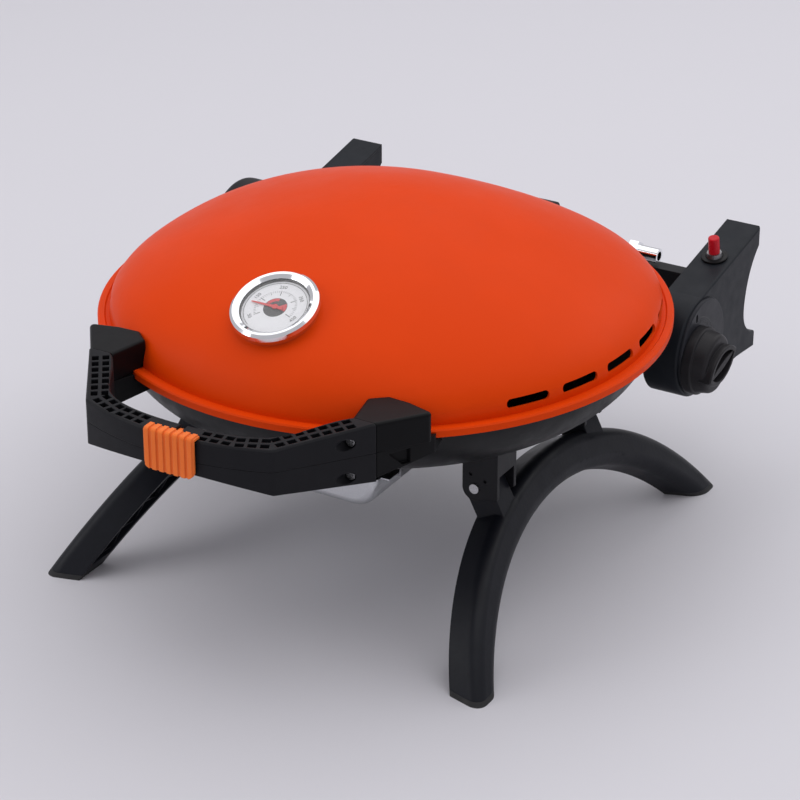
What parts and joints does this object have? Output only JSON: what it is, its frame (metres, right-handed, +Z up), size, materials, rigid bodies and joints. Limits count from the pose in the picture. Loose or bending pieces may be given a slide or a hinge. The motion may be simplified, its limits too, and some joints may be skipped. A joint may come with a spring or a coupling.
{
  "type": "portable tabletop gas grill",
  "caption": "Round tabletop gas grill with a hinged orange dome lid, split carrying handle, folding arched legs, side gas knob, igniter button and lid thermometer.",
  "frame": {"origin": "middle of the footprint's bounding rectangle, on the surface the grill stands on; the lid's vertical axis is at x 18 mm, y 20 mm", "axes": "+X to the gas knob side (right, seen from the handle), +Y from the carrying handle to the lid hinge, +Z up"},
  "size_m": [0.5462, 0.6597, 0.3332],
  "materials": {
    "bowl_enamel": "satin dark grey coating",
    "cast_iron": "matt seasoned",
    "steel": "satin",
    "ceramic": "glazed",
    "lead_rubber": "matt",
    "brass": "machined",
    "chrome": "polished",
    "arm_plastic": "fine grain",
    "pod_plastic": "fine grain",
    "plate_plastic": "satin",
    "ring_plastic": "gloss",
    "collar_metal": "satin grey",
    "brace_paint": "satin black",
    "handle_plastic": "fine grain",
    "cap_plastic": "semi gloss",
    "hinge_paint": "satin",
    "rail_steel": "satin",
    "lid_paint": "satin orange powder coat",
    "dial": "satin white",
    "glass": "clear",
    "needle_red": "satin red",
    "clip_plastic": "satin orange",
    "leg_paint": "satin black",
    "rubber": "matt",
    "knob_plastic": "satin",
    "button_red": "gloss",
    "tray_metal": "brushed"
  },
  "bodies": {
    "base": {"bowl": "bowl_enamel", "grate_left": "cast_iron", "grate_right": "cast_iron", "burner": "steel", "burner_feed_tube": "steel", "electrode": "ceramic", "ignition_lead": "lead_rubber", "gas_valve": "brass", "gas_pipe": "steel", "gas_inlet": "chrome", "arm_left": "arm_plastic", "arm_right": "arm_plastic", "arm_cover_left": "arm_plastic", "arm_cover_right": "arm_plastic", "side_pod": "pod_plastic", "knob_plate": "plate_plastic", "igniter_ring": "ring_plastic", "igniter_collar": "collar_metal", "igniter_spring": "steel", "rear_brace": "brace_paint", "lid_hinge_pins": "steel", "handle_lower": "handle_plastic", "handle_lower_screws": "steel", "handle_bracket_left": "cap_plastic", "handle_bracket_right": "cap_plastic", "leg_hinge_blocks_left": "hinge_paint", "leg_hinge_blocks_right": "hinge_paint", "leg_pins_left": "steel", "leg_pins_right": "steel", "tray_rail_left": "rail_steel", "tray_rail_right": "rail_steel"},
    "lid": {"lid_shell": "lid_paint", "lid_hinge_left": "brace_paint", "lid_hinge_right": "brace_paint", "lid_cap_left": "cap_plastic", "lid_cap_right": "cap_plastic", "handle_upper": "handle_plastic", "handle_upper_screws": "steel", "latch_pin": "steel", "thermo_bezel": "chrome", "thermo_housing": "ring_plastic", "thermo_dial": "dial", "thermo_glass": "glass", "thermo_stem": "steel", "thermo_nut": "steel"},
    "needle": {"thermo_needle": "needle_red"},
    "latch": {"latch_clip": "clip_plastic"},
    "leg_r": {"leg_right": "leg_paint", "foot_pads_right": "rubber"},
    "leg_l": {"leg_left": "leg_paint", "foot_pads_left": "rubber"},
    "knob": {"control_knob": "knob_plastic", "knob_shaft": "brass"},
    "button": {"igniter_button": "button_red"},
    "tray": {"grease_tray": "tray_metal"}
  },
  "joints": [
    {"name": "lid_hinge", "type": "hinge", "parent": "base", "child": "lid", "pos_m": [0.018, 0.292, 0.227], "axis": [-1, 0, 0], "range_deg": [0, 85]},
    {"name": "needle_turn", "type": "hinge", "parent": "lid", "child": "needle", "pos_m": [0.018, -0.158, 0.29322], "axis": [0, -0.4147, 0.91], "range_deg": [-210, 30]},
    {"name": "latch_pivot", "type": "hinge", "parent": "lid", "child": "latch", "pos_m": [0.023, -0.307, 0.2465], "axis": [-1, 0, 0], "range_deg": [0, 60]},
    {"name": "leg_right_fold", "type": "hinge", "parent": "base", "child": "leg_r", "pos_m": [0.161, 0.02, 0.126], "axis": [0, 1, 0], "range_deg": [0, 82]},
    {"name": "leg_left_fold", "type": "hinge", "parent": "base", "child": "leg_l", "pos_m": [-0.125, 0.02, 0.126], "axis": [0, -1, 0], "range_deg": [0, 82]},
    {"name": "knob_turn", "type": "hinge", "parent": "base", "child": "knob", "pos_m": [0.243, 0.188, 0.161], "axis": [-1, 0, 0], "range_deg": [0, 180]},
    {"name": "igniter_press", "type": "slide", "parent": "base", "child": "button", "axis": [0, 0.182, -0.9833], "range_m": [0, 0.004], "stiffness_N_per_m": 400, "springref_m": -0.003, "deforming": ["igniter_spring"]},
    {"name": "tray_slide", "type": "slide", "parent": "base", "child": "tray", "axis": [0, -1, 0], "range_m": [0, 0.15]}
  ]
}
